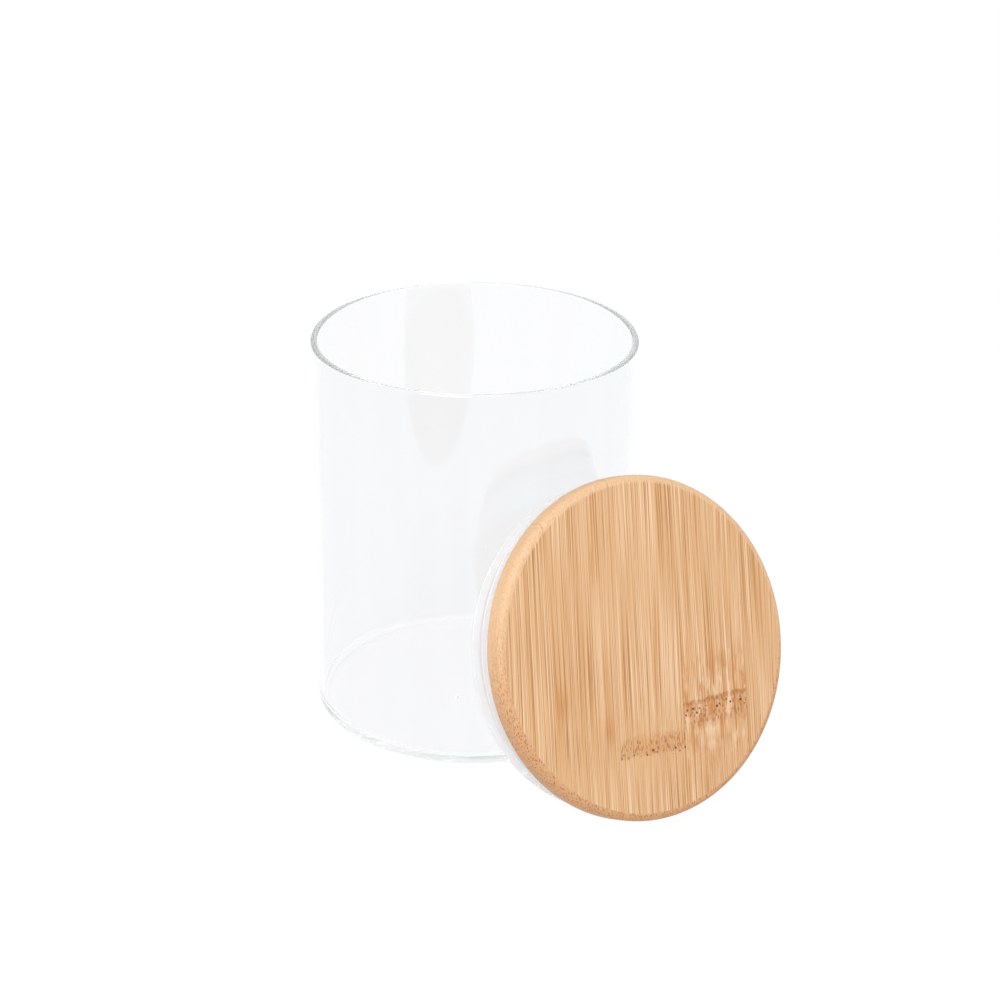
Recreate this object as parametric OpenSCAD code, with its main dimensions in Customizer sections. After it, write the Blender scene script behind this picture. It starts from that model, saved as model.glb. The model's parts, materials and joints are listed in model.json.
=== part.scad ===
// Empty candle jar with a laminated bamboo lid.
// The jar stands on its base and the lid leans against its wall.
// Millimetres. Origin: centre of the jar's base. +Z is up, and -Y is the front.

/* [Glass jar] */
// Outside diameter of the jar
jar_d = 100; // [84:1:130]
// Height of the jar
jar_h = 122; // [60:1:180]
// Thickness of the glass wall
wall = 2; // [1.5:0.1:4]
// Thickness of the glass floor
floor_t = 2; // [1.8:0.1:8]
// Outside radius of the bottom corner
corner_r = 2.4; // [1:0.1:6]
// Inside radius where the wall meets the floor
inside_corner_r = 2.4; // [1:0.1:4]
// Diameter of the small nib left on the floor
nib_d = 2.4; // [1.5:0.1:6]
// Height of the nib above the floor
nib_h = 0.4; // [0.2:0.1:0.7]
// Distance of the nib from the jar's axis, to the left
nib_left = 5; // [0:0.5:20]
// Distance of the nib from the jar's axis, towards the front
nib_front = 8.5; // [0:0.5:20]

/* [Bamboo lid] */
// How much wider the cap is than the jar
cap_overhang = 0.8; // [0:0.1:6]
// Thickness of one ply of bamboo; the cap is one ply and the plug is two
ply_t = 6.6; // [4:0.1:9]
// Radius of the cap's top edge
cap_edge_r = 2.4; // [0.5:0.1:3]
// Radius of the cap's bottom edge
cap_under_r = 0.5; // [0.2:0.1:1.5]
// Width of one bamboo strip
strip_w = 23; // [16:0.1:27]
// How far the cap's strips sit off the lid's centre
cap_shift = 0.7; // [-6:0.1:6]
// Angle of the cap's grain in the lid's own plane
grain_angle = -11; // [-90:1:90]

/* [Plug and seal] */
// Gap between the plug's neck and the inside of the jar, all round
plug_gap = 4; // [3:0.1:8]
// Height of the lip that keeps the seal on the plug
lip_h = 0.8; // [0.5:0.1:2]
// How far the lip stands out from the plug's neck
lip_out = 1.2; // [0.5:0.1:2]
// Thickness of the seal's sleeve
sleeve_t = 1.6; // [1:0.1:3]
// How much wider each fin's tip is than the bore, pressed in by the jar
fin_squeeze = 0.1; // [0:0.05:0.6]
// Thickness of a fin at its root
fin_root_t = 1.8; // [1:0.1:3]
// Thickness of a fin at its tip
fin_tip_t = 0.8; // [0.4:0.1:1.5]
// Number of fins
fin_count = 3; // [2:1:4]

/* [How the lid leans] */
// Angle of the lid from upright
lean = 22.8; // [10:0.1:40]
// Direction of the lid from the jar's axis, to the right of the front
bearing = 36.3; // [-90:0.1:90]
// Direction the lid faces, to the right of the front
facing = 34.5; // [-90:0.1:90]
// Clearance left between the seal and the jar's wall where it leans
lean_gap = 0.4; // [0.3:0.05:1]

/* [Hidden] */
$fn = 96;

strip_count = 5;
strips = [for (i = [1 : strip_count]) i];

jar_r = jar_d / 2;
bore_r = jar_r - wall;
cap_r = jar_r + cap_overhang / 2;
neck_r = bore_r - plug_gap;
lip_r = neck_r + lip_out;
plug_h = 2 * ply_t;
seal_h = plug_h - lip_h;
fin_r = bore_r + fin_squeeze;
fin_pitch = (seal_h - fin_root_t) / (fin_count - 1);

// The lid's own origin is the centre of the cap's underside. Its height is the
// one at which the lid rests on the ground, on the seal's end when the lid
// leans far back and on the cap's rounded bottom edge when it stands steeper.
cap_foot_z = (cap_r - cap_under_r) * cos(lean) + cap_under_r * (1 - sin(lean));
seal_foot_z = fin_r * cos(lean) + seal_h * sin(lean);
lid_z = max(cap_foot_z, seal_foot_z);
// Distance of that origin from the jar's axis, with the seal's end at the wall.
lid_distance = jar_r + lean_gap + fin_r * sin(lean) + seal_h * cos(lean);

// Places a part of the lid, drawn with the cap's underside on z = 0 and its
// top towards +Z, where the leaning lid stands.
module lean_on_jar() {
    rotate([0, 0, bearing])
        translate([0, -lid_distance, lid_z])
            rotate([90 - lean, 0, facing - bearing])
                children();
}

// Outline of the jar's glass, from its axis outwards.
module jar_section() {
    difference() {
        union() {
            translate([0, corner_r]) square([jar_r, jar_h - corner_r - wall / 2]);
            square([jar_r - corner_r, corner_r]);
            intersection() {
                translate([jar_r - corner_r, corner_r]) circle(r = corner_r);
                square([jar_r, corner_r]);
            }
            translate([jar_r - wall / 2, jar_h - wall / 2]) circle(d = wall);
        }
        translate([0, floor_t + inside_corner_r])
            square([bore_r, jar_h]);
        translate([0, floor_t])
            square([bore_r - inside_corner_r, 2 * inside_corner_r]);
        translate([bore_r - inside_corner_r, floor_t + inside_corner_r])
            circle(r = inside_corner_r);
    }
}

module glass_jar() {
    color("lightcyan", 0.4) {
        rotate_extrude() jar_section();
        translate([-nib_left, -nib_front, floor_t])
            cylinder(h = nib_h, d1 = nib_d, d2 = nib_d - 2 * nib_h);
    }
}

// Outline of the cap with both of its rounded edges.
module cap_section() {
    square([cap_r - cap_edge_r, ply_t]);
    translate([0, cap_under_r]) square([cap_r, ply_t - cap_edge_r - cap_under_r]);
    translate([cap_r - cap_edge_r, ply_t - cap_edge_r]) circle(r = cap_edge_r);
    square([cap_r - cap_under_r, cap_under_r]);
    translate([cap_r - cap_under_r, cap_under_r]) circle(r = cap_under_r);
}

module cap_blank() {
    rotate_extrude() cap_section();
}

// Upper half of the plug, a plain cylinder under the cap.
module core_blank() {
    translate([0, 0, -ply_t]) cylinder(h = ply_t, r = neck_r);
}

// Lower half of the plug, with the lip that keeps the seal on.
module plug_blank() {
    translate([0, 0, -plug_h + lip_h]) cylinder(h = ply_t - lip_h, r = neck_r);
    translate([0, 0, -plug_h]) cylinder(h = lip_h, r1 = lip_r - lip_h / 2, r2 = lip_r);
}

// The slice of a ply that one strip takes up. The two outer strips run on past
// the blank, so they take whatever width is left.
module strip_slice(i, shift = 0) {
    seam = (i - strip_count / 2 - 1) * strip_w + shift;
    left = i == 1 ? -2 * cap_r : seam;
    right = i == strip_count ? 2 * cap_r : seam + strip_w;
    translate([left, -2 * cap_r, -2 * plug_h])
        cube([right - left, 4 * cap_r, 4 * plug_h]);
}

module cap_strip(i) {
    color("burlywood")
        lean_on_jar() intersection() {
            cap_blank();
            rotate([0, 0, grain_angle]) strip_slice(i, cap_shift);
        }
}

// The core ply's grain crosses the grain of the other two, against warping.
module core_strip(i) {
    color("tan")
        lean_on_jar() intersection() {
            core_blank();
            rotate([0, 0, grain_angle + 90]) strip_slice(i);
        }
}

module plug_strip(i) {
    color("burlywood")
        lean_on_jar() intersection() {
            plug_blank();
            rotate([0, 0, grain_angle]) strip_slice(i);
        }
}

// One soft fin, thinner at its tip.
module fin_section() {
    polygon([
        [neck_r + sleeve_t / 2, 0],
        [fin_r, 0],
        [fin_r, fin_tip_t],
        [neck_r + sleeve_t / 2, fin_root_t]
    ]);
}

module seal_ring() {
    color("white", 0.6)
        lean_on_jar() rotate_extrude() {
            translate([neck_r, -seal_h]) square([sleeve_t, seal_h]);
            for (i = [0 : fin_count - 1])
                translate([0, -seal_h + i * fin_pitch]) fin_section();
        }
}

glass_jar();
seal_ring();
for (i = strips) {
    cap_strip(i);
    core_strip(i);
    plug_strip(i);
}
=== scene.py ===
"""An empty glass candle jar with its laminated bamboo lid leaning on it, in soft studio light."""
import json
import math

import bmesh
import bpy
import numpy as np
from mathutils import Matrix, Vector


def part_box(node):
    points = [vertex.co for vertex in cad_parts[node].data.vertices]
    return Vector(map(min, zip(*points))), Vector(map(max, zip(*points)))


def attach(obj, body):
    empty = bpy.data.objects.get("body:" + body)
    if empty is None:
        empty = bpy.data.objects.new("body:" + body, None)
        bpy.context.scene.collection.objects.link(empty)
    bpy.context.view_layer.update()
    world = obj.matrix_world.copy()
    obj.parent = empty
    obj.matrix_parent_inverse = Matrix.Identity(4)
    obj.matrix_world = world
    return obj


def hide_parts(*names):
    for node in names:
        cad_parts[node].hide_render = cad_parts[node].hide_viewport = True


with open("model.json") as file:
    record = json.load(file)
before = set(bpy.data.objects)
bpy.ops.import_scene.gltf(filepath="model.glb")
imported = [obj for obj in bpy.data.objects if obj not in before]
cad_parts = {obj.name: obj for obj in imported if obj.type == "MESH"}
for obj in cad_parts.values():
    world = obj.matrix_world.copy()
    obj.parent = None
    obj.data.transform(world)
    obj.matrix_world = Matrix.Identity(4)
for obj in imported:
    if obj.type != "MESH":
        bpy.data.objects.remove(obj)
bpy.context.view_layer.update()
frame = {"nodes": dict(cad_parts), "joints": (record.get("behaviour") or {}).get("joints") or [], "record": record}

MM = 0.001

# ---------------------------------------------------------------- sizes from the frame
MOUTH = next(m for m in frame["record"]["mounts"] if m["name"] == "mouth")
LID_TIP = next(j for j in frame["joints"] if j["name"] == "lid_tip")

JAR_LOW, JAR_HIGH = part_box("glass_jar")
JAR_R = -JAR_LOW.x
JAR_H = JAR_HIGH.z
BORE_R = MOUTH["dims"]["r_mm"] * MM
WALL = JAR_R - BORE_R
BOTTOM_CORNER = 2.4 * MM
INSIDE_CORNER = 2.4 * MM
FLOOR_T = JAR_H - WALL / 2 - MOUTH["dims"]["length_mm"] * MM - INSIDE_CORNER
NIB_PLACE = Vector((-5.0 * MM, -8.5 * MM))
NIB_R = 1.2 * MM
NIB_H = 0.35 * MM

CAP_EDGE = 2.4 * MM
CAP_UNDER = 0.5 * MM
GRAIN_ANGLE = math.radians(-11)
HOLD = 0.1 * MM  # rings this close to a rounded edge keep the flat face beside it flat
STRIPS = range(1, 6)
SLEEVE_T = 1.6 * MM
FIN_ROOT = 1.8 * MM
FIN_TIP = 0.8 * MM
FIN_COUNT = 3
FILLET = 0.3 * MM  # how far a fin's root spreads into the sleeve
FLARE = 0.4 * MM  # how far its upper face stands out where it turns down
ROUND = 256  # points round a whole turn
SAME = 1e-6  # heights closer than this are the same


def node_points(*names):
    """The rest positions of CAD nodes' vertices, one row each."""
    return np.array([v.co for n in names for v in frame["nodes"][n].data.vertices])


def lid_frame():
    """The lid's own frame: origin at the centre of the cap's underside, Y up the face, Z out of it."""
    across = Vector(LID_TIP["axis"]).normalized()
    lean = math.radians(LID_TIP["range_deg"][1] - 90)
    front = across.cross(Vector((0, 0, 1)))
    out = front * math.cos(lean) + Vector((0, 0, math.sin(lean)))
    up = out.cross(across)
    cap = node_points(*(f"cap_strip_{i}" for i in STRIPS))
    a, u, o = cap @ np.array(across), cap @ np.array(up), cap @ np.array(out)
    origin = across * (a.min() + a.max()) / 2 + up * (u.min() + u.max()) / 2 + out * o.min()
    axes = Matrix((across, up, out)).transposed().to_4x4()
    return Matrix.Translation(origin) @ axes


LID = lid_frame()


def in_lid(points):
    """Points of the CAD's frame, as the lid's own frame has them."""
    inverse = np.array(LID.inverted())
    return points @ inverse[:3, :3].T + inverse[:3, 3]


CAP = in_lid(node_points(*(f"cap_strip_{i}" for i in STRIPS)))
CORE = in_lid(node_points(*(f"core_strip_{i}" for i in STRIPS)))
PLUG = in_lid(node_points(*(f"plug_strip_{i}" for i in STRIPS)))
SEAL = in_lid(node_points("seal_ring"))
CAP_R = CAP[:, 0].max()
CAP_T = CAP[:, 2].max()
NECK_R = CORE[:, 0].max()
CORE_END = CORE[:, 2].min()
LIP_R = PLUG[:, 0].max()
PLUG_END = PLUG[:, 2].min()
FIN_R = SEAL[:, 0].max()
SEAL_END = SEAL[:, 2].min()


# ---------------------------------------------------------------- mesh helpers
def arc(centre, radius, start, end, steps):
    """Points of an arc in an outline, in degrees, both ends included."""
    turn = np.radians(np.linspace(start, end, steps + 1))
    return [(centre[0] + radius * math.cos(t), centre[1] + radius * math.sin(t)) for t in turn]


def lathe(outline, is_ring=False):
    """A closed solid of revolution.

    The outline, of (r, z) points, runs from the axis round to the axis again. Where is_ring is
    set, it is a loop that stays off the axis.
    """
    bm = bmesh.new()
    turns = np.linspace(0, 2 * math.pi, ROUND, endpoint=False)
    rings = []
    for r, z in outline:
        if r == 0:
            rings.append([bm.verts.new((0, 0, z))] * ROUND)
        else:
            rings.append([bm.verts.new((r * math.cos(t), r * math.sin(t), z)) for t in turns])
    if is_ring:
        rings.append(rings[0])
    for a, b in zip(rings, rings[1:]):
        for i in range(ROUND):
            j = (i + 1) % ROUND
            # A ring on the axis is one point, which makes triangles.
            corners = list(dict.fromkeys((a[i], a[j], b[j], b[i])))
            if len(corners) > 2:
                bm.faces.new(corners)
    bmesh.ops.recalc_face_normals(bm, faces=bm.faces)
    return bm


def piece(name, bm, place, body, material, replaces, sharp_deg=40):
    """Makes the visible piece that stands for a CAD node. place carries its mesh to its own place."""
    mesh = bpy.data.meshes.new(name)
    bm.transform(place)
    bm.to_mesh(mesh)
    bm.free()
    for polygon in mesh.polygons:
        polygon.use_smooth = True
    mesh.set_sharp_from_angle(angle=math.radians(sharp_deg))
    mesh.materials.append(material)
    obj = bpy.data.objects.new(name, mesh)
    bpy.context.scene.collection.objects.link(obj)
    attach(obj, body)
    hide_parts(replaces)


# ---------------------------------------------------------------- material helpers
class Graph:
    """Short calls that add shader nodes and link them."""

    def __init__(self, name):
        self.material = bpy.data.materials.new(name)
        self.material.use_nodes = True
        self.tree = self.material.node_tree
        self.tree.nodes.clear()
        self.output = self.tree.nodes.new("ShaderNodeOutputMaterial")

    def add(self, kind, inputs=None, **settings):
        node = self.tree.nodes.new(kind)
        for key, value in settings.items():
            setattr(node, key, value)
        for key, value in (inputs or {}).items():
            self.feed(node.inputs[key], value)
        return node

    def feed(self, socket, value):
        if isinstance(value, bpy.types.NodeSocket):
            self.tree.links.new(value, socket)
        else:
            socket.default_value = value

    def math(self, operation, a, b=0.0, clamp=False):
        node = self.add("ShaderNodeMath", {0: a, 1: b}, operation=operation, use_clamp=clamp)
        return node.outputs[0]

    def times(self, *values):
        """The product of two or more values."""
        product = values[0]
        for value in values[1:]:
            product = self.math("MULTIPLY", product, value)
        return product

    def swing(self, field, amount):
        """A field of 0 to 1 turned into a swing about 0, amount wide."""
        return self.math("MULTIPLY", self.math("SUBTRACT", field, 0.5), amount)

    def distance(self, x, y):
        return self.math("SQRT", self.math("ADD", self.times(x, x), self.times(y, y)))

    def scaled(self, vector, scale):
        return self.add("ShaderNodeVectorMath", {0: vector, 1: scale}, operation="MULTIPLY").outputs[0]

    def moved(self, vector, offset):
        return self.add("ShaderNodeVectorMath", {0: vector, 1: offset}, operation="ADD").outputs[0]

    def noise(self, vector, detail=2.0, roughness=0.5):
        node = self.add("ShaderNodeTexNoise", {"Vector": vector, "Scale": 1.0,
                                               "Detail": detail, "Roughness": roughness})
        return node.outputs["Fac"]

    def cells(self, vector):
        """The distance to the nearest of many scattered points, about one in each unit cube."""
        node = self.add("ShaderNodeTexVoronoi", {"Vector": vector, "Scale": 1.0})
        return node.outputs["Distance"]

    def step(self, value, low, high, to_low=0.0, to_high=1.0):
        """value from low to high becomes to_low to to_high, smoothly, and no further."""
        node = self.add("ShaderNodeMapRange",
                        {"Value": value, "From Min": low, "From Max": high,
                         "To Min": to_low, "To Max": to_high},
                        interpolation_type="SMOOTHSTEP")
        return node.outputs["Result"]

    def mix(self, share, a, b, blend="MIX"):
        node = self.add("ShaderNodeMix", data_type="RGBA", blend_type=blend, clamp_factor=True)
        self.feed(node.inputs["Factor"], share)
        self.feed(node.inputs[6], a)
        self.feed(node.inputs[7], b)
        return node.outputs[2]

    def paint(self, colour, wood, *shares):
        """colour, taken towards wood by the product of the shares."""
        return self.mix(self.times(*shares), colour, wood)

    def parts(self, vector):
        return self.add("ShaderNodeSeparateXYZ", {0: vector}).outputs

    def vector(self, x, y, z):
        return self.add("ShaderNodeCombineXYZ", {0: x, 1: y, 2: z}).outputs[0]

    def here(self, place):
        """The coordinates that the mesh had before place moved it, in millimetres."""
        node = self.add("ShaderNodeMapping", {
            "Vector": self.add("ShaderNodeTexCoord").outputs["Object"],
            "Location": place.translation,
            "Rotation": place.to_euler(),
            "Scale": (MM, MM, MM),
        }, vector_type="TEXTURE")
        return node.outputs[0]

    def bump(self, height, strength, distance):
        return self.add("ShaderNodeBump",
                        {"Height": height, "Strength": strength, "Distance": distance}).outputs[0]


def rgb(red, green, blue):
    """A colour given in screen values of 0 to 255, as linear light."""
    def linear(v):
        v /= 255
        return v / 12.92 if v <= 0.04045 else ((v + 0.055) / 1.055) ** 2.4
    return (linear(red), linear(green), linear(blue), 1.0)


# ---------------------------------------------------------------- glass
GLASS_CLEARS = (0.978, 0.9815, 0.981, 1.0)  # the grey green that its edge shows
GLASS_DENSITY = 48.0
WALL_TINT = (0.949, 0.953, 0.962, 1.0)
# Painted light: the floor glass is left clearer than the wall, so it reads lighter where it stands on the glowing
# table.
PAINTED_LIGHT_FLOOR_TINT = (0.998, 0.998, 1.0, 1.0)
RIPPLE = (0.05, 0.05, 0.02)  # cells in a millimetre along X, Y and Z, as in each pattern below
STREAKS = (0.12, 0.12, 0.01)
RING_COUNT = 14  # up the wall, and down again inside
NIB_RING = 0.25 * MM  # from one ring to the next where the nib is
FLOOR_RING = 4 * MM  # and on the rest of the floor


def glass_material():
    """Clear glass, greyer in the wall than in the floor, with a faint ripple. The clearer floor is painted light:
    lighter where it stands on the glowing table.
    """
    g = Graph("clear_glass")
    here = g.here(Matrix.Identity(4))
    height = g.parts(here)[2]
    ripple = g.noise(g.scaled(here, RIPPLE), 1.0)
    streaks = g.noise(g.scaled(here, STREAKS))
    wall = g.mix(g.step(streaks, 0.40, 0.65, 0.0, 0.15), WALL_TINT, PAINTED_LIGHT_FLOOR_TINT)
    # Painted light: at the floor the glass turns from the wall's grey tint to the clearer floor tint, lighter
    # where it stands on the glowing table.
    above_floor = g.step(height, FLOOR_T / MM, (FLOOR_T + INSIDE_CORNER) / MM)
    shader = g.add("ShaderNodeBsdfPrincipled", {
        "Base Color": g.mix(above_floor, PAINTED_LIGHT_FLOOR_TINT, wall),
        "IOR": 1.47,
        "Transmission Weight": 1.0,
        "Roughness": 0.0,
        "Normal": g.bump(ripple, 0.02, 0.0001),
    })
    inside = g.add("ShaderNodeVolumeAbsorption", {"Color": GLASS_CLEARS, "Density": GLASS_DENSITY})
    g.tree.links.new(shader.outputs[0], g.output.inputs["Surface"])
    g.tree.links.new(inside.outputs[0], g.output.inputs["Volume"])
    return g.material


def make_jar():
    """The jar in one skin, from the middle of its underside over the rim to the middle of its floor."""
    rim_z = JAR_H - WALL / 2
    corner = arc((JAR_R - BOTTOM_CORNER, BOTTOM_CORNER), BOTTOM_CORNER, -90, 0, 12)
    wall_heights = np.linspace(BOTTOM_CORNER + HOLD, rim_z - HOLD, RING_COUNT)
    wall = [(JAR_R, z) for z in wall_heights]
    rim = arc((JAR_R - WALL / 2, rim_z), WALL / 2, 0, 180, 16)
    bore_heights = np.linspace(rim_z - HOLD, FLOOR_T + INSIDE_CORNER + HOLD, RING_COUNT)
    bore = [(BORE_R, z) for z in bore_heights]
    inside = arc((BORE_R - INSIDE_CORNER, FLOOR_T + INSIDE_CORNER), INSIDE_CORNER, 0, -90, 10)
    nib_far = NIB_PLACE.length + 1.5 * MM
    nib_near = NIB_PLACE.length - 1.6 * MM
    radii = [BORE_R - INSIDE_CORNER - HOLD]
    radii += list(np.arange(10, 3, -1) * FLOOR_RING)
    radii += list(np.arange(nib_far, nib_near, -NIB_RING))
    radii += [FLOOR_RING, 0.0]
    floor = [(r, FLOOR_T) for r in radii]
    under = [(0.0, 0.0), (JAR_R - BOTTOM_CORNER - HOLD, 0.0)]
    bm = lathe(under + corner + wall + rim + bore + inside + floor)
    for vert in bm.verts:
        if abs(vert.co.z - FLOOR_T) < SAME:
            away = (vert.co.xy - NIB_PLACE).length / NIB_R
            if away < 1:
                vert.co.z += NIB_H * (1 - away * away)
    piece("jar_glass", bm, Matrix.Identity(4), "jar", glass_material(), "glass_jar")


# ---------------------------------------------------------------- silicone seal
SEAL_GREY = rgb(248, 249, 251)
SEAL_WHITE = rgb(253, 253, 253)
SEAL_CLOUD = (0.15, 0.15, 0.15)
SEAL_GRAIN = (6, 6, 6)


def seal_material():
    """Half clear silicone, cloudy on the whole and finely matt."""
    g = Graph("clear_silicone")
    here = g.here(LID)
    cloud = g.noise(g.scaled(here, SEAL_CLOUD), 3.0)
    grain = g.noise(g.scaled(here, SEAL_GRAIN))
    shader = g.add("ShaderNodeBsdfPrincipled", {
        "Base Color": g.mix(cloud, SEAL_GREY, SEAL_WHITE),
        "IOR": 1.41,
        "Transmission Weight": 0.42,
        "Roughness": g.step(grain, 0.3, 0.7, 0.14, 0.24),
        "Normal": g.bump(grain, 0.10, 0.0001),
    })
    g.tree.links.new(shader.outputs[0], g.output.inputs["Surface"])
    return g.material


def make_seal():
    """A sleeve on the plug's neck, with fins that get thinner towards their round tips."""
    outer = NECK_R + SLEEVE_T
    pitch = (-SEAL_END - FIN_ROOT) / (FIN_COUNT - 1)
    outline = [(NECK_R, z) for z in np.linspace(0, SEAL_END, 8)]
    for i in range(FIN_COUNT):
        low = SEAL_END + i * pitch
        if i > 0:
            outline += [(outer, low - FILLET), (outer + FILLET, low)]
        outline += arc((FIN_R - FIN_TIP / 2, low + FIN_TIP / 2), FIN_TIP / 2, -90, 90, 8)
        outline += [(outer + FLARE, low + FIN_ROOT - FILLET / 2), (outer, low + FIN_ROOT)]
    bm = lathe(outline, is_ring=True)
    piece("lid_seal", bm, LID, "lid", seal_material(), "seal_ring")


# ---------------------------------------------------------------- bamboo
WOOD_LIGHT = rgb(221, 193, 162)
WOOD_MID = rgb(199, 153, 105)
WOOD_DARK = rgb(148, 91, 37)
WOOD_RUST = rgb(178, 112, 52)
WOOD_DOT = rgb(92, 50, 24)
WOOD_EDGE = rgb(214, 180, 144)
SEED_STEP = (37.7, 91.3, 17.9)  # moves the noise, so that no two strips have the same grain

# Cells in a millimetre across the fibres and along them.
HAIRS = (4.6, 0.02)
THREADS = (3.4, 0.012)
BREAKS = (2.0, 0.05)
STRIPES = (0.9, 0.012)
SHADES = (0.25, 0.006)

# Cells in a millimetre across the fibres, along them and through the board.
SWAY = (0.05, 0.010, 0.05)
CLOUDS = (0.07, 0.025, 0.07)
WOBBLE = (0.30, 0.05, 0.1)
DASHES = (1.60, 0.55, 1.60)
GAPS = (0.9, 0.5, 0.9)
MOTTLE = (0.50, 0.13, 0.50)
DOTS = (0.70, 0.66, 0.70)
PORES = (1.9, 0.8, 1.9)
SPECKS = (1.5, 1.0, 1.5)


def knuckle_marks(g, spot, colour, height, knuckle):
    """The marks where a joint of the cane crossed the strip: a row of dots, short dashes and flames.

    knuckle is (level, slope, strength, side). The dashes are above the row where side is 1, and
    under a brown line where it is -1. Lengths are in millimetres.
    """
    level, slope, strength, side = knuckle
    x, y, _ = g.parts(spot)
    wobble = g.noise(g.scaled(spot, WOBBLE))
    line = g.math("ADD", g.times(x, slope), level)
    line = g.math("ADD", line, g.swing(wobble, 2.2))
    away = g.times(g.math("SUBTRACT", y, line), side)

    # A rusty band with short dark dashes in it.
    row_at = 0.4 if side > 0 else 3.0
    band = g.times(g.step(away, -0.4, 0.4), g.step(away, row_at + 6.5, row_at + 3.0))
    dashes = g.step(g.cells(g.scaled(spot, DASHES)), 0.48, 0.26)
    colour = g.paint(colour, WOOD_RUST, band, 0.32 * strength)
    colour = g.paint(colour, WOOD_DARK, band, dashes, 0.75 * strength)
    if side < 0:
        # The brown line over the band.
        seam = g.times(g.step(away, -0.5, -0.1), g.step(away, 1.7, 0.5))
        broken = g.step(g.noise(g.scaled(spot, GAPS)), 0.40, 0.58, 0.3, 1.0)
        colour = g.paint(colour, WOOD_DARK, seam, broken, 0.7 * strength)

    # Rusty and pale flames that run out along the fibres.
    flame = g.times(g.step(away, -20.0, -3.0), g.step(away, 30.0, 5.0))
    mottle = g.noise(g.scaled(spot, MOTTLE), roughness=0.55)
    reach = 0.70 * strength if side < 0 else 0.15 * strength
    colour = g.paint(colour, WOOD_RUST, flame, g.step(mottle, 0.50, 0.68, 0.0, reach))
    colour = g.paint(colour, WOOD_LIGHT, flame, g.step(mottle, 0.46, 0.30, 0.0, reach))

    # The row of dots, which are small holes.
    row = g.times(g.step(away, row_at - 1.4, row_at - 0.6), g.step(away, row_at + 1.6, row_at + 0.8))
    dots = g.step(g.cells(g.scaled(spot, DOTS)), 0.34, 0.22)
    holes = g.times(row, dots)
    colour = g.paint(colour, WOOD_DOT, holes, 0.95 * strength)
    return colour, g.math("SUBTRACT", height, g.times(holes, 1.5))


def bamboo_material(name, place, seed, seams, tone=(1.0, 1.0, 1.0), edge_r=0.0, knuckle=None,
                    stains=()):
    """Bamboo with its fibres along the piece's own Y.

    seams has the places of its glue lines, edge_r is the radius where the round edge starts, with its end grain
    and painted shade, and stains are (x, y, radius) of brown marks, all in millimetres. Its colour is multiplied
    by tone.
    """
    g = Graph(name)
    here = g.here(place)
    apart = tuple(seed * step for step in SEED_STEP)
    x, y, z = g.parts(here)
    # The fibres drift a little from side to side along the strip.
    sway = g.noise(g.moved(g.scaled(here, SWAY), apart), 1.0)
    drift = g.swing(sway, 3.0)
    spot = g.moved(g.vector(g.math("ADD", x, drift), y, z), apart)

    def fibres(pattern, detail=0.0):
        across, along = pattern
        return g.noise(g.scaled(spot, (across, along, across)), detail, 0.6)

    hair = fibres(HAIRS)
    threads = fibres(THREADS)
    broken = fibres(BREAKS, 2.0)
    clouds = g.noise(g.scaled(spot, CLOUDS), 3.0)
    light = 0.60
    for field, amount in ((hair, 1.40), (fibres(STRIPES), 0.08),
                          (fibres(SHADES), 0.15), (clouds, -0.16)):
        light = g.math("ADD", light, g.swing(field, amount))
    # Thin dark threads, which come and go.
    off_thread = g.math("ABSOLUTE", g.math("SUBTRACT", threads, 0.5))
    thread = g.times(g.step(off_thread, 0.06, 0.015), g.step(broken, 0.36, 0.58, 0.1, 1.0), 0.30)
    light = g.math("SUBTRACT", light, thread, clamp=True)
    twice = g.times(light, 2.0)
    colour = g.mix(twice, WOOD_DARK, WOOD_MID)
    colour = g.mix(g.math("SUBTRACT", twice, 1.0), colour, WOOD_LIGHT)
    height = light

    if knuckle:
        colour, height = knuckle_marks(g, g.vector(x, y, z), colour, height, knuckle)
    # Stains are about twice as long along the fibres as across them.
    for stain_x, stain_y, radius in stains:
        off_x = g.math("SUBTRACT", x, stain_x)
        off_y = g.times(g.math("SUBTRACT", y, stain_y), 0.45)
        colour = g.mix(g.step(g.distance(off_x, off_y), radius, 0.0, 0.0, 0.45), colour, WOOD_RUST)
    if edge_r:
        # Cut ends of the fibres, as dots on the round edge where it crosses the grain. Their rust and dark pores
        # fade towards the top, which is painted shade: the lower edge darker, the upper edge lighter where the
        # lamp falls.
        side = g.step(g.distance(x, y), edge_r - 0.3, edge_r + 0.5)
        # Painted shade: the real end grain's rust and pores are strong at the bottom of the edge and faint at its
        # top, so the upper edge reads as lit and the lower as shaded.
        end_grain_and_painted_shade = g.step(y, 20.0, -28.0, 0.10, 1.0)
        pores = g.step(g.cells(g.scaled(here, PORES)), 0.45, 0.20)
        specks = g.step(g.cells(g.scaled(here, SPECKS)), 0.35, 0.15)
        colour = g.paint(colour, WOOD_EDGE, side, 0.65)
        colour = g.paint(colour, WOOD_RUST, side, end_grain_and_painted_shade, 0.50)
        colour = g.paint(colour, WOOD_LIGHT, side, specks, 0.35)
        colour = g.paint(colour, WOOD_DARK, side, end_grain_and_painted_shade, pores, 0.80)
    # Glue line: a hair of darker wood where two strips meet.
    for seam in seams:
        off_seam = g.math("ABSOLUTE", g.math("SUBTRACT", x, seam))
        colour = g.mix(g.step(off_seam, 0.16, 0.03, 0.0, 0.45), colour, WOOD_DARK)
    colour = g.mix(1.0, colour, (*tone, 1.0), "MULTIPLY")
    shader = g.add("ShaderNodeBsdfPrincipled", {
        "Base Color": colour,
        "Roughness": g.step(hair, 0.3, 0.8, 0.50, 0.66),
        "Specular IOR Level": 0.35,
        "Normal": g.bump(height, 0.05, 0.00008),
    })
    g.tree.links.new(shader.outputs[0], g.output.inputs["Surface"])
    return g.material


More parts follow.
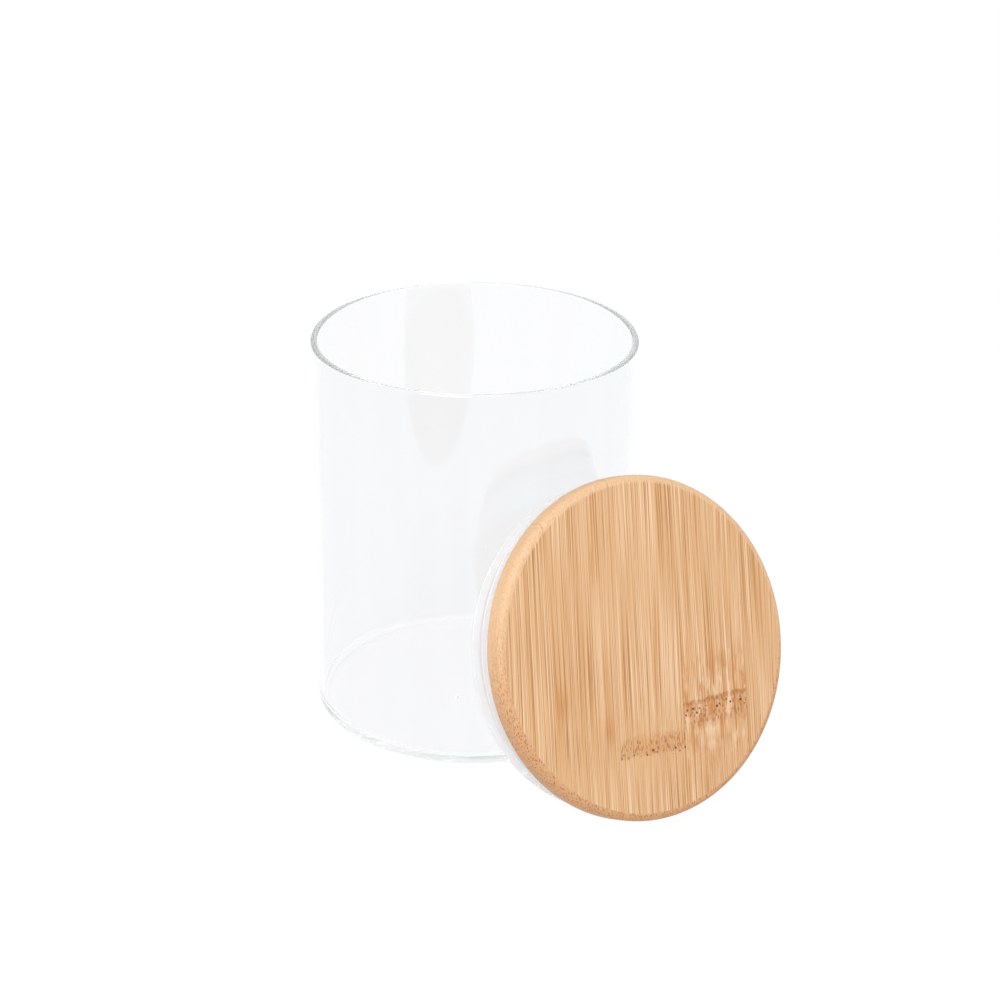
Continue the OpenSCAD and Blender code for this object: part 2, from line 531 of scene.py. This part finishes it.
def cap_outline():
    """The top ply, with its wide round upper edge and its narrow lower one."""
    top = arc((CAP_R - CAP_EDGE, CAP_T - CAP_EDGE), CAP_EDGE, 0, 90, 12)
    under = arc((CAP_R - CAP_UNDER, CAP_UNDER), CAP_UNDER, -90, 0, 4)
    side = [(CAP_R, CAP_UNDER + HOLD), (CAP_R, CAP_T - CAP_EDGE - HOLD)]
    face = [(CAP_R - CAP_EDGE - HOLD, CAP_T), (0.0, CAP_T)]
    return [(0.0, 0.0), (CAP_R - CAP_UNDER - HOLD, 0.0)] + under + side + top + face


def core_outline():
    """The upper half of the plug."""
    return [(0.0, CORE_END), (NECK_R, CORE_END), (NECK_R, 0.0), (0.0, 0.0)]


def plug_outline():
    """The lower half of the plug, with the lip that the seal ends on."""
    lip_h = SEAL_END - PLUG_END
    return [(0.0, PLUG_END), (LIP_R - lip_h / 2, PLUG_END), (LIP_R, SEAL_END),
            (NECK_R, SEAL_END), (NECK_R, CORE_END), (0.0, CORE_END)]


def cut(bm, x, keep_right):
    """Cuts a solid with the plane at x and caps the cut."""
    geometry = bm.verts[:] + bm.edges[:] + bm.faces[:]
    result = bmesh.ops.bisect_plane(bm, geom=geometry, plane_co=(x, 0, 0), plane_no=(1, 0, 0),
                                    clear_inner=keep_right, clear_outer=not keep_right)
    edges = [e for e in result["geom_cut"] if isinstance(e, bmesh.types.BMEdge)]
    bmesh.ops.contextual_create(bm, geom=edges)


def make_ply(ply, outline, turn, looks, edge_r=0.0):
    """The five strips of one ply, whose grain is turned by turn from the lid's own Y.

    looks has one set of bamboo_material settings for each strip.
    """
    place = LID @ Matrix.Rotation(turn, 4, "Z")
    to_strip = np.array(Matrix.Rotation(-turn, 3, "Z"))
    for i, look in zip(STRIPS, looks):
        node = f"{ply}_strip_{i}"
        x = (in_lid(node_points(node)) @ to_strip.T)[:, 0]
        bm = lathe(outline)
        seams = []
        if i > STRIPS[0]:
            cut(bm, x.min(), True)
            seams.append(x.min() / MM)
        if i < STRIPS[-1]:
            cut(bm, x.max(), False)
            seams.append(x.max() / MM)
        bmesh.ops.recalc_face_normals(bm, faces=bm.faces)
        material = bamboo_material(f"bamboo_{ply}_{i}", place, seams=seams, edge_r=edge_r / MM, **look)
        piece(f"bamboo_{ply}_{i}", bm, place, "lid", material, node, sharp_deg=50)


CAP_LOOKS = [
    dict(seed=1),
    dict(seed=2, stains=((-29.7, -14.3, 3.5), (-14.3, -23.2, 3.0))),
    dict(seed=8, knuckle=(-31.1, 0.05, 0.9, 1)),
    dict(seed=14, knuckle=(-18.8, 0.13, 1.0, -1)),
    dict(seed=5),
]
CORE_LOOKS = [dict(seed=40 + i, tone=(0.97, 0.95, 0.92)) for i in STRIPS]
PLUG_LOOKS = [
    dict(seed=21, tone=(1.0, 0.98, 0.95)),
    dict(seed=22, tone=(0.97, 0.94, 0.9), knuckle=(17.0, -0.2, 0.9, 1)),
    dict(seed=23),
    dict(seed=24, tone=(0.96, 0.93, 0.9), knuckle=(-9.0, 0.15, 0.9, -1)),
    dict(seed=25, tone=(1.0, 0.97, 0.94)),
]


# ---------------------------------------------------------------- studio
TABLE_REACH = 4.0  # from the middle to each side
TABLE_GLOW = 0.963
ROOM_LIGHT = 1.03
LAMP_PLACE = (-0.4, -0.95, 1.25)
LAMP_SIZE = 0.8
LAMP_POWER = 13
BOUNCES = 256


def camera():
    """A 90 mm lens a little above the jar, turned by half a degree."""
    target = Vector((8.1 * MM, 0, 67.0 * MM))
    distance = 784 * MM
    elevation = math.radians(24.1)
    roll = math.radians(0.5)
    ahead = Vector((0, math.cos(elevation), -math.sin(elevation)))
    level = Vector((1, 0, 0))
    upward = level.cross(ahead)
    right = level * math.cos(roll) + upward * math.sin(roll)
    upright = upward * math.cos(roll) - level * math.sin(roll)
    axes = Matrix((right, upright, -ahead)).transposed().to_4x4()
    data = bpy.data.cameras.new("camera")
    data.lens = 90
    data.sensor_width = 36
    obj = bpy.data.objects.new("camera", data)
    bpy.context.scene.collection.objects.link(obj)
    obj.matrix_world = Matrix.Translation(target - ahead * distance) @ axes
    bpy.context.scene.camera = obj


def round_lamp(name, place, aim, size, power):
    data = bpy.data.lights.new(name, "AREA")
    data.shape = "DISK"
    data.size = size
    data.energy = power
    obj = bpy.data.objects.new(name, data)
    bpy.context.scene.collection.objects.link(obj)
    obj.location = place
    obj.rotation_euler = (Vector(aim) - Vector(place)).to_track_quat("-Z", "Y").to_euler()


def studio():
    """A pale table lit from within, a white room and a soft lamp at the upper left."""
    bm = bmesh.new()
    bmesh.ops.create_grid(bm, x_segments=1, y_segments=1, size=TABLE_REACH)
    mesh = bpy.data.meshes.new("table")
    bm.to_mesh(mesh)
    bm.free()
    g = Graph("white_table")
    shader = g.add("ShaderNodeBsdfPrincipled", {
        "Base Color": (0.05, 0.05, 0.05, 1.0), "Roughness": 0.9, "Specular IOR Level": 0.0,
        "Emission Color": (1, 1, 1, 1), "Emission Strength": TABLE_GLOW,
    })
    g.tree.links.new(shader.outputs[0], g.output.inputs["Surface"])
    mesh.materials.append(g.material)
    table = bpy.data.objects.new("table", mesh)
    table.location.z = -0.02 * MM  # clear of the jar's underside
    bpy.context.scene.collection.objects.link(table)

    world = bpy.data.worlds.new("white_room")
    world.use_nodes = True
    background = world.node_tree.nodes["Background"]
    background.inputs["Color"].default_value = (1.0, 1.0, 1.0, 1.0)
    background.inputs["Strength"].default_value = ROOM_LIGHT
    bpy.context.scene.world = world

    between_jar_and_lid = (JAR_R, -JAR_R, JAR_H / 2)
    round_lamp("key", LAMP_PLACE, between_jar_and_lid, LAMP_SIZE, LAMP_POWER)
    bpy.context.scene.view_settings.view_transform = "Standard"
    # Light crosses and turns inside the glass many times at its rim and its foot.
    cycles = bpy.context.scene.cycles
    cycles.max_bounces = cycles.glossy_bounces = cycles.transmission_bounces = BOUNCES


camera()
make_jar()
make_seal()
make_ply("cap", cap_outline(), GRAIN_ANGLE, CAP_LOOKS, edge_r=CAP_R - CAP_EDGE)
make_ply("core", core_outline(), GRAIN_ANGLE + math.pi / 2, CORE_LOOKS)
make_ply("plug", plug_outline(), GRAIN_ANGLE, PLUG_LOOKS)
studio()
